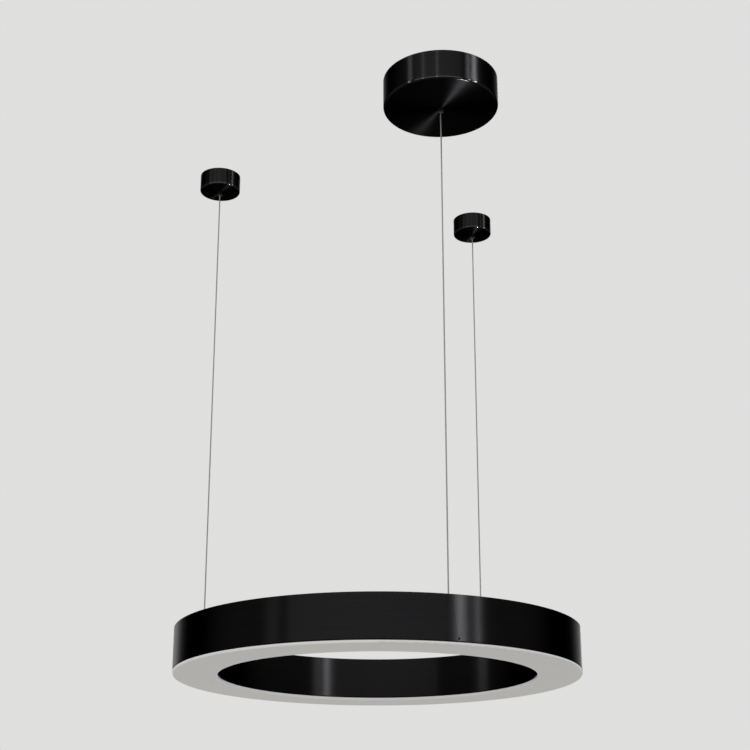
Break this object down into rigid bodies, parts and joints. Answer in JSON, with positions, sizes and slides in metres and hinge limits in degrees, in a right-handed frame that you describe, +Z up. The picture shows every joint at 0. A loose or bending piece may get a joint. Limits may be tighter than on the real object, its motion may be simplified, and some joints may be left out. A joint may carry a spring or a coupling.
{
  "type": "led ring chandelier",
  "caption": "Slim black brushed ring light with an opal underside, hung on thin steel cables from one driver canopy and small round canopies.",
  "frame": {"origin": "in the ceiling plane, straight above the middle of the ring", "axes": "+Z up into the ceiling; the light hangs to -Z, and the near cable lies 69.5 degrees clockwise from +X"},
  "size_m": [0.6, 0.6356, 0.85],
  "materials": {
    "black_brushed": "black anodised, brushed round the hoops and covers, semi-gloss",
    "black_satin": "black anodised, satin",
    "raw_aluminium": "mill finish",
    "opal_acrylic": "opal, satin underside with polished edges",
    "black_screws": "black oxide",
    "zinc_steel": "zinc plated",
    "white_board": "white solder mask",
    "led_phosphor": "clear yellow resin",
    "nickel_brass": "nickel plated",
    "steel_balls": "polished",
    "spring_steel": "bright drawn wire",
    "steel_cable": "stranded, bright",
    "driver_case": "moulded, matt",
    "white_nylon": "moulded, matt",
    "black_rubber": "moulded, matt"
  },
  "bodies": {
    "suspension": {"led_driver": "driver_case", "driver_screws": "zinc_steel", "terminal_block": "white_nylon", "terminal_screws": "zinc_steel", "entry_grommet": "black_rubber", "main_plate": "zinc_steel", "main_stem": "zinc_steel", "main_stem_nut": "zinc_steel", "near_cable": "steel_cable", "near_ferrule": "nickel_brass", "near_nipple": "nickel_brass", "left_plate": "zinc_steel", "left_stem": "zinc_steel", "left_stem_nut": "zinc_steel", "left_cable": "steel_cable", "left_ferrule": "nickel_brass", "left_nipple": "nickel_brass", "far_plate": "zinc_steel", "far_stem": "zinc_steel", "far_stem_nut": "zinc_steel", "far_cable": "steel_cable", "far_ferrule": "nickel_brass", "far_nipple": "nickel_brass"},
    "ring": {"outer_hoop": "black_brushed", "inner_hoop": "black_brushed", "top_plate": "black_satin", "section_ribs": "raw_aluminium", "top_screws": "black_screws", "carrier_plate": "raw_aluminium", "carrier_screws": "zinc_steel", "led_chips": "led_phosphor", "board_screws": "zinc_steel", "ring_terminal": "white_nylon", "diffuser": "opal_acrylic", "side_screws": "black_screws", "gripper_nuts": "zinc_steel", "led_board_1": "white_board", "led_board_2": "white_board", "led_board_3": "white_board", "led_board_4": "white_board", "led_board_5": "white_board", "led_board_6": "white_board", "near_gripper": "nickel_brass", "near_spring": "spring_steel", "left_gripper": "nickel_brass", "left_spring": "spring_steel", "far_gripper": "nickel_brass", "far_spring": "spring_steel"},
    "near_release": {"near_plunger": "nickel_brass", "near_balls": "steel_balls"},
    "main_cover": {"main_cover": "black_brushed"},
    "main_collar": {"main_collar": "black_satin"},
    "left_release": {"left_plunger": "nickel_brass", "left_balls": "steel_balls"},
    "left_cover": {"left_cover": "black_brushed"},
    "left_collar": {"left_collar": "black_satin"},
    "far_release": {"far_plunger": "nickel_brass", "far_balls": "steel_balls"},
    "far_cover": {"far_cover": "black_brushed"},
    "far_collar": {"far_collar": "black_satin"}
  },
  "joints": [
    {"name": "height_adjust", "type": "slide", "parent": "suspension", "child": "ring", "axis": [0, 0, 1], "range_m": [0, 0.02]},
    {"name": "near_release_press", "type": "slide", "parent": "ring", "child": "near_release", "axis": [0, 0, -1], "range_m": [0, 0.0015], "stiffness_N_per_m": 2000, "springref_m": -0.002, "deforming": ["near_spring"]},
    {"name": "main_cover_slide", "type": "slide", "parent": "suspension", "child": "main_cover", "axis": [0, 0, -1], "range_m": [0, 0.15]},
    {"name": "main_collar_slide", "type": "slide", "parent": "main_cover", "child": "main_collar", "axis": [0, 0, -1], "range_m": [0, 0.008]},
    {"name": "left_release_press", "type": "slide", "parent": "ring", "child": "left_release", "axis": [0, 0, -1], "range_m": [0, 0.0015], "stiffness_N_per_m": 2000, "springref_m": -0.002, "deforming": ["left_spring"]},
    {"name": "left_cover_slide", "type": "slide", "parent": "suspension", "child": "left_cover", "axis": [0, 0, -1], "range_m": [0, 0.1]},
    {"name": "left_collar_slide", "type": "slide", "parent": "left_cover", "child": "left_collar", "axis": [0, 0, -1], "range_m": [0, 0.008]},
    {"name": "far_release_press", "type": "slide", "parent": "ring", "child": "far_release", "axis": [0, 0, -1], "range_m": [0, 0.0015], "stiffness_N_per_m": 2000, "springref_m": -0.002, "deforming": ["far_spring"]},
    {"name": "far_cover_slide", "type": "slide", "parent": "suspension", "child": "far_cover", "axis": [0, 0, -1], "range_m": [0, 0.1]},
    {"name": "far_collar_slide", "type": "slide", "parent": "far_cover", "child": "far_collar", "axis": [0, 0, -1], "range_m": [0, 0.008]}
  ]
}
